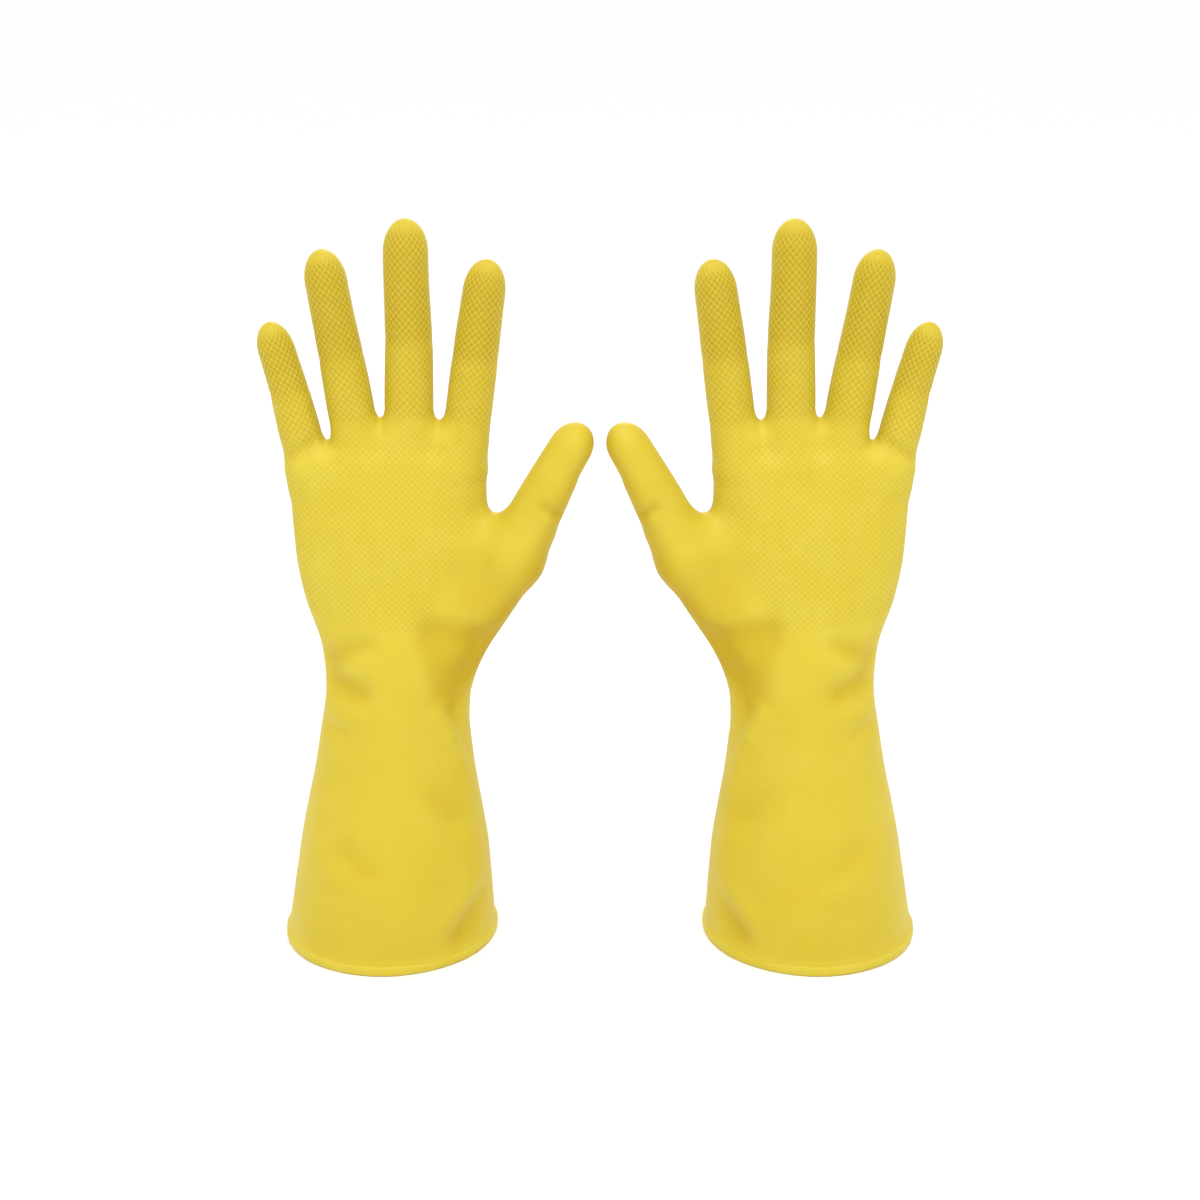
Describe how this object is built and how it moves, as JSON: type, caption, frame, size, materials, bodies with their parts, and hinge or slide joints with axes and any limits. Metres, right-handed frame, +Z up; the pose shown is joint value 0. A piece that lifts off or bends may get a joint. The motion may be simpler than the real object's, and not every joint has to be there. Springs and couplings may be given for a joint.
{
  "type": "rubber gloves",
  "caption": "Household rubber gloves with flared cuffs and rolled rims, lined with flock, that bend at the wrist and at every finger.",
  "frame": {"origin": "on the ground, midway between the two cuffs, which stand on their rims", "axes": "+Z up from the rims to the fingertips, +X from the right-hand glove to the left-hand glove, palms towards -Y"},
  "size_m": [0.286, 0.096, 0.3216],
  "materials": {
    "latex": "satin yellow latex film",
    "flock": "short cotton flock"
  },
  "bodies": {
    "right_cuff": {"right_cuff_bead": "latex", "right_cuff": "latex", "right_cuff_flock": "flock"},
    "right_hand": {"right_hand": "latex", "right_hand_flock": "flock"},
    "right_little_root": {"right_little_root": "latex", "right_little_root_flock": "flock"},
    "right_little_tip": {"right_little_tip": "latex", "right_little_tip_flock": "flock"},
    "right_ring_root": {"right_ring_root": "latex", "right_ring_root_flock": "flock"},
    "right_ring_tip": {"right_ring_tip": "latex", "right_ring_tip_flock": "flock"},
    "right_middle_root": {"right_middle_root": "latex", "right_middle_root_flock": "flock"},
    "right_middle_tip": {"right_middle_tip": "latex", "right_middle_tip_flock": "flock"},
    "right_index_root": {"right_index_root": "latex", "right_index_root_flock": "flock"},
    "right_index_tip": {"right_index_tip": "latex", "right_index_tip_flock": "flock"},
    "right_thumb_root": {"right_thumb_root": "latex", "right_thumb_root_flock": "flock"},
    "right_thumb_tip": {"right_thumb_tip": "latex", "right_thumb_tip_flock": "flock"},
    "left_cuff": {"left_cuff_bead": "latex", "left_cuff": "latex", "left_cuff_flock": "flock"},
    "left_hand": {"left_hand": "latex", "left_hand_flock": "flock"},
    "left_little_root": {"left_little_root": "latex", "left_little_root_flock": "flock"},
    "left_little_tip": {"left_little_tip": "latex", "left_little_tip_flock": "flock"},
    "left_ring_root": {"left_ring_root": "latex", "left_ring_root_flock": "flock"},
    "left_ring_tip": {"left_ring_tip": "latex", "left_ring_tip_flock": "flock"},
    "left_middle_root": {"left_middle_root": "latex", "left_middle_root_flock": "flock"},
    "left_middle_tip": {"left_middle_tip": "latex", "left_middle_tip_flock": "flock"},
    "left_index_root": {"left_index_root": "latex", "left_index_root_flock": "flock"},
    "left_index_tip": {"left_index_tip": "latex", "left_index_tip_flock": "flock"},
    "left_thumb_root": {"left_thumb_root": "latex", "left_thumb_root_flock": "flock"},
    "left_thumb_tip": {"left_thumb_tip": "latex", "left_thumb_tip_flock": "flock"}
  },
  "joints": [
    {"name": "right_wrist_bend", "type": "hinge", "parent": "right_cuff", "child": "right_hand", "pos_m": [-0.0895, 0, 0.112], "axis": [1, 0, 0], "range_deg": [-30, 45], "stiffness_Nm_per_rad": 0.4},
    {"name": "right_little_root_bend", "type": "hinge", "parent": "right_hand", "child": "right_little_root", "pos_m": [-0.1269, 0, 0.234], "axis": [0.9763, 0, 0.2164], "range_deg": [-10, 60], "stiffness_Nm_per_rad": 0.012},
    {"name": "right_little_knuckle_bend", "type": "hinge", "parent": "right_little_root", "child": "right_little_tip", "pos_m": [-0.13078, 0, 0.25151], "axis": [0.9763, 0, 0.2164], "range_deg": [0, 70], "stiffness_Nm_per_rad": 0.008},
    {"name": "right_ring_root_bend", "type": "hinge", "parent": "right_hand", "child": "right_ring_root", "pos_m": [-0.1051, 0, 0.244], "axis": [0.9907, 0, 0.1357], "range_deg": [-10, 60], "stiffness_Nm_per_rad": 0.012},
    {"name": "right_ring_knuckle_bend", "type": "hinge", "parent": "right_ring_root", "child": "right_ring_tip", "pos_m": [-0.10815, 0, 0.26623], "axis": [0.9907, 0, 0.1357], "range_deg": [0, 70], "stiffness_Nm_per_rad": 0.008},
    {"name": "right_middle_root_bend", "type": "hinge", "parent": "right_hand", "child": "right_middle_root", "pos_m": [-0.08, 0, 0.245], "axis": [0.9999, 0, -0.014], "range_deg": [-10, 60], "stiffness_Nm_per_rad": 0.012},
    {"name": "right_middle_knuckle_bend", "type": "hinge", "parent": "right_middle_root", "child": "right_middle_tip", "pos_m": [-0.07961, 0, 0.27272], "axis": [0.9999, 0, -0.014], "range_deg": [0, 70], "stiffness_Nm_per_rad": 0.008},
    {"name": "right_index_root_bend", "type": "hinge", "parent": "right_hand", "child": "right_index_root", "pos_m": [-0.0549, 0, 0.243], "axis": [0.989, 0, -0.1478], "range_deg": [-10, 60], "stiffness_Nm_per_rad": 0.012},
    {"name": "right_index_knuckle_bend", "type": "hinge", "parent": "right_index_root", "child": "right_index_tip", "pos_m": [-0.05155, 0, 0.26543], "axis": [0.989, 0, -0.1478], "range_deg": [0, 70], "stiffness_Nm_per_rad": 0.008},
    {"name": "right_thumb_root_bend", "type": "hinge", "parent": "right_hand", "child": "right_thumb_root", "pos_m": [-0.0256, -0.008, 0.203], "axis": [0.7331, -0.5014, -0.4596], "range_deg": [-10, 45], "stiffness_Nm_per_rad": 0.012},
    {"name": "right_thumb_knuckle_bend", "type": "hinge", "parent": "right_thumb_root", "child": "right_thumb_tip", "pos_m": [-0.01767, -0.01076, 0.21867], "axis": [0.7331, -0.5014, -0.4596], "range_deg": [0, 60], "stiffness_Nm_per_rad": 0.008},
    {"name": "left_wrist_bend", "type": "hinge", "parent": "left_cuff", "child": "left_hand", "pos_m": [0.0895, 0, 0.112], "axis": [1, 0, 0], "range_deg": [-30, 45], "stiffness_Nm_per_rad": 0.4},
    {"name": "left_little_root_bend", "type": "hinge", "parent": "left_hand", "child": "left_little_root", "pos_m": [0.1269, 0, 0.234], "axis": [0.9763, 0, -0.2164], "range_deg": [-10, 60], "stiffness_Nm_per_rad": 0.012},
    {"name": "left_little_knuckle_bend", "type": "hinge", "parent": "left_little_root", "child": "left_little_tip", "pos_m": [0.13078, 0, 0.25151], "axis": [0.9763, 0, -0.2164], "range_deg": [0, 70], "stiffness_Nm_per_rad": 0.008},
    {"name": "left_ring_root_bend", "type": "hinge", "parent": "left_hand", "child": "left_ring_root", "pos_m": [0.1051, 0, 0.244], "axis": [0.9907, 0, -0.1357], "range_deg": [-10, 60], "stiffness_Nm_per_rad": 0.012},
    {"name": "left_ring_knuckle_bend", "type": "hinge", "parent": "left_ring_root", "child": "left_ring_tip", "pos_m": [0.10815, 0, 0.26623], "axis": [0.9907, 0, -0.1357], "range_deg": [0, 70], "stiffness_Nm_per_rad": 0.008},
    {"name": "left_middle_root_bend", "type": "hinge", "parent": "left_hand", "child": "left_middle_root", "pos_m": [0.08, 0, 0.245], "axis": [0.9999, 0, 0.014], "range_deg": [-10, 60], "stiffness_Nm_per_rad": 0.012},
    {"name": "left_middle_knuckle_bend", "type": "hinge", "parent": "left_middle_root", "child": "left_middle_tip", "pos_m": [0.07961, 0, 0.27272], "axis": [0.9999, 0, 0.014], "range_deg": [0, 70], "stiffness_Nm_per_rad": 0.008},
    {"name": "left_index_root_bend", "type": "hinge", "parent": "left_hand", "child": "left_index_root", "pos_m": [0.0549, 0, 0.243], "axis": [0.989, 0, 0.1478], "range_deg": [-10, 60], "stiffness_Nm_per_rad": 0.012},
    {"name": "left_index_knuckle_bend", "type": "hinge", "parent": "left_index_root", "child": "left_index_tip", "pos_m": [0.05155, 0, 0.26543], "axis": [0.989, 0, 0.1478], "range_deg": [0, 70], "stiffness_Nm_per_rad": 0.008},
    {"name": "left_thumb_root_bend", "type": "hinge", "parent": "left_hand", "child": "left_thumb_root", "pos_m": [0.0256, -0.008, 0.203], "axis": [0.7331, 0.5014, 0.4596], "range_deg": [-10, 45], "stiffness_Nm_per_rad": 0.012},
    {"name": "left_thumb_knuckle_bend", "type": "hinge", "parent": "left_thumb_root", "child": "left_thumb_tip", "pos_m": [0.01767, -0.01076, 0.21867], "axis": [0.7331, 0.5014, 0.4596], "range_deg": [0, 60], "stiffness_Nm_per_rad": 0.008},
    {"name": "left_glove_shift", "type": "slide", "parent": "right_cuff", "child": "left_cuff", "axis": [1, 0, 0], "range_m": [0, 0.15]}
  ]
}
